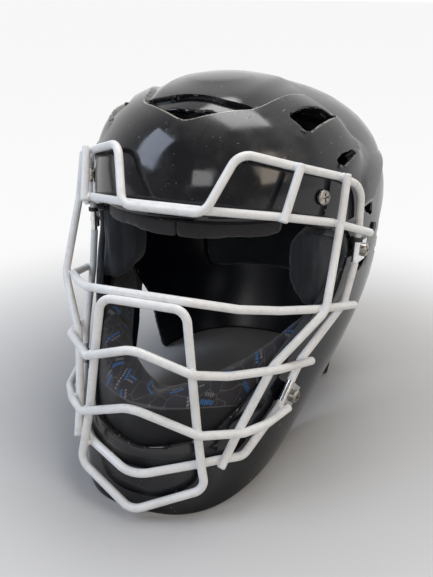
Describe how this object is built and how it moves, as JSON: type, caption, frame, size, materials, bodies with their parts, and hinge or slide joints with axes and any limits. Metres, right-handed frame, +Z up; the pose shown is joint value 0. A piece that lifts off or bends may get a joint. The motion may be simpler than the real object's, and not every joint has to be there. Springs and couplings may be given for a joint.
{
  "type": "baseball catcher helmet",
  "caption": "Hockey-style catcher helmet: hard front shell, welded white wire face cage held by clips, foam and fabric pads, and a sprung sliding back plate.",
  "frame": {"origin": "bottom centre of the whole helmet's bounding box, on the plane of its lower rim", "axes": "+Z up, face opening towards -Y, +X to the wearer's left"},
  "size_m": [0.2274, 0.3211, 0.2515],
  "materials": {
    "shell_gloss": "gloss moulded, lightly scuffed",
    "plate_gloss": "gloss moulded",
    "wire_white": "white vinyl dip over steel wire, worn",
    "clip_chrome": "bright plated",
    "screw_steel": "dulled nickel",
    "rubber_black": "matt",
    "rivet_dark": "matt",
    "pad_foam": "charcoal closed-cell foam",
    "pad_fabric": "knitted cover with small blue and grey marks",
    "strap_elastic": "woven elastic"
  },
  "bodies": {
    "front_shell_group": {"front_shell": "shell_gloss", "cage_frame_wire": "wire_white", "cage_brow_bar": "wire_white", "cage_eye_bar": "wire_white", "cage_mouth_loop": "wire_white", "cage_upper_mouth_bar": "wire_white", "cage_lower_mouth_bar": "wire_white", "cage_side_wire_left": "wire_white", "cage_side_wire_right": "wire_white", "cage_brow_strut_left": "wire_white", "cage_brow_strut_right": "wire_white", "clip_upper_left": "clip_chrome", "clip_upper_right": "clip_chrome", "clip_lower_left": "clip_chrome", "clip_lower_right": "clip_chrome", "wire_collars": "rubber_black", "clip_screws": "screw_steel", "clip_nuts": "screw_steel", "temple_screws": "screw_steel", "temple_nuts": "screw_steel", "brow_pad_left": "pad_foam", "brow_pad_right": "pad_foam", "cheek_pad_left": "pad_foam", "cheek_pad_right": "pad_foam", "temple_pad_left": "pad_foam", "temple_pad_right": "pad_foam", "crown_pad": "pad_foam", "jaw_pad": "pad_fabric", "side_strap_left": "strap_elastic", "side_strap_right": "strap_elastic", "top_strap": "strap_elastic", "strap_shell_rivets": "rivet_dark"},
    "back_plate_group": {"back_plate": "plate_gloss", "strap_plate_rivets": "rivet_dark", "rear_pad_upper": "pad_foam", "rear_pad_lower": "pad_foam"}
  },
  "joints": [
    {"name": "back_plate_slide", "type": "slide", "parent": "front_shell_group", "child": "back_plate_group", "axis": [0, 1, 0], "range_m": [0, 0.025], "stiffness_N_per_m": 300, "springref_m": -0.004, "deforming": ["side_strap_left", "side_strap_right", "top_strap"]}
  ]
}
